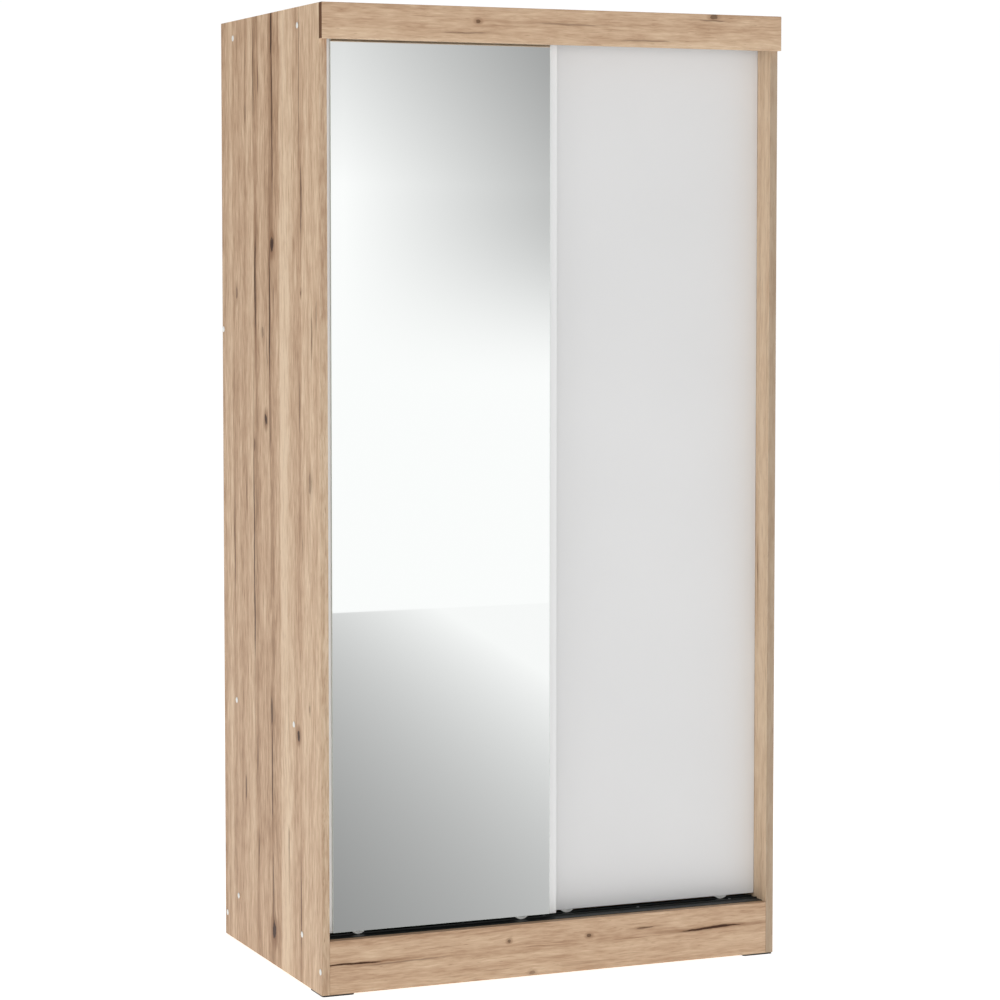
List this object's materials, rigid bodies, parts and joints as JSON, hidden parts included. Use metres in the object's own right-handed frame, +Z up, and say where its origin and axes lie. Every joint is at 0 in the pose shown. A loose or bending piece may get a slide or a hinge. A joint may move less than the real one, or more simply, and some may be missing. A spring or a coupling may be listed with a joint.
{
  "type": "sliding door wardrobe",
  "caption": "Free-standing wardrobe in oak-effect board with a mirror sliding door and a plain white sliding door, shelves on the left and a hanging rail on the right.",
  "frame": {"origin": "on the floor under the middle of the wardrobe's overall box", "axes": "+X to the right seen from the front, +Y from the doors to the back panels, +Z up"},
  "size_m": [1.0034, 0.6406, 1.95],
  "materials": {
    "oak_decor": "oak-effect melamine on chipboard, satin, light tan with cream bands, brown streaks and dark cracks",
    "white_melamine": "white melamine on chipboard, satin",
    "mirror": "silvered float glass with polished edges",
    "hardboard": "raw brown hardboard outside",
    "black_plastic": "black extruded plastic, low gloss",
    "white_plastic": "white moulded plastic, semi-gloss",
    "chrome": "bright chrome plate on steel tube",
    "steel": "bright zinc-plated steel"
  },
  "bodies": {
    "carcass": {"side_panel_left": "oak_decor", "side_panel_right": "oak_decor", "top_panel": "oak_decor", "bottom_panel": "oak_decor", "partition": "oak_decor", "plinth_front": "oak_decor", "plinth_rear": "oak_decor", "back_rail": "oak_decor", "pelmet": "oak_decor", "shelf_fixed": "oak_decor", "shelf_adjustable_1": "oak_decor", "shelf_adjustable_2": "oak_decor", "shelf_adjustable_3": "oak_decor", "back_panel_left": "hardboard", "back_panel_right": "hardboard", "back_joint_strip": "white_plastic", "glide_front_left": "black_plastic", "glide_front_right": "black_plastic", "glide_rear_left": "black_plastic", "glide_rear_right": "black_plastic", "screw_cap_left_top_front": "white_plastic", "screw_cap_left_top_rear": "white_plastic", "screw_cap_left_shelf_front": "white_plastic", "screw_cap_left_shelf_rear": "white_plastic", "screw_cap_left_bottom_front": "white_plastic", "screw_cap_left_bottom_rear": "white_plastic", "screw_cap_left_plinth_front": "white_plastic", "screw_cap_left_plinth_rear": "white_plastic", "screw_cap_left_back_rail": "white_plastic", "screw_cap_right_top_front": "white_plastic", "screw_cap_right_top_rear": "white_plastic", "screw_cap_right_bottom_front": "white_plastic", "screw_cap_right_bottom_rear": "white_plastic", "screw_cap_right_plinth_front": "white_plastic", "screw_cap_right_plinth_rear": "white_plastic", "screw_cap_right_back_rail": "white_plastic", "hanging_rail": "chrome", "rail_socket_partition": "chrome", "rail_socket_side": "chrome", "track_bottom": "black_plastic", "track_top": "black_plastic"},
    "mirror_door": {"mirror_door_board": "white_melamine", "mirror_glass": "mirror", "roller_housing_mirror_left": "white_plastic", "roller_housing_mirror_right": "white_plastic", "roller_axle_mirror_left": "steel", "roller_axle_mirror_right": "steel", "top_guide_mirror_left": "white_plastic", "top_guide_mirror_right": "white_plastic"},
    "white_door": {"white_door_board": "white_melamine", "roller_housing_white_left": "white_plastic", "roller_housing_white_right": "white_plastic", "roller_axle_white_left": "steel", "roller_axle_white_right": "steel", "top_guide_white_left": "white_plastic", "top_guide_white_right": "white_plastic"},
    "wheel_mirror_left": {"roller_wheel_mirror_left": "white_plastic"},
    "wheel_mirror_right": {"roller_wheel_mirror_right": "white_plastic"},
    "wheel_white_left": {"roller_wheel_white_left": "white_plastic"},
    "wheel_white_right": {"roller_wheel_white_right": "white_plastic"}
  },
  "joints": [
    {"name": "mirror_door_slide", "type": "slide", "parent": "carcass", "child": "mirror_door", "axis": [1, 0, 0], "range_m": [0, 0.4655]},
    {"name": "white_door_slide", "type": "slide", "parent": "carcass", "child": "white_door", "axis": [1, 0, 0], "range_m": [-0.4655, 0]},
    {"name": "wheel_mirror_left_spin", "type": "hinge", "parent": "mirror_door", "child": "wheel_mirror_left", "pos_m": [-0.4095, -0.26245, 0.1296], "axis": [0, 1, 0], "continuous": true},
    {"name": "wheel_mirror_right_spin", "type": "hinge", "parent": "mirror_door", "child": "wheel_mirror_right", "pos_m": [-0.056, -0.26245, 0.1296], "axis": [0, 1, 0], "continuous": true},
    {"name": "wheel_white_left_spin", "type": "hinge", "parent": "white_door", "child": "wheel_white_left", "pos_m": [0.056, -0.23845, 0.1296], "axis": [0, 1, 0], "continuous": true},
    {"name": "wheel_white_right_spin", "type": "hinge", "parent": "white_door", "child": "wheel_white_right", "pos_m": [0.4095, -0.23845, 0.1296], "axis": [0, 1, 0], "continuous": true}
  ],
  "couplings": [
    {"joint": "wheel_mirror_left_spin", "follows": "mirror_door_slide", "rad_per_m": 55.556},
    {"joint": "wheel_mirror_right_spin", "follows": "mirror_door_slide", "rad_per_m": 55.556},
    {"joint": "wheel_white_left_spin", "follows": "white_door_slide", "rad_per_m": 55.556},
    {"joint": "wheel_white_right_spin", "follows": "white_door_slide", "rad_per_m": 55.556}
  ]
}
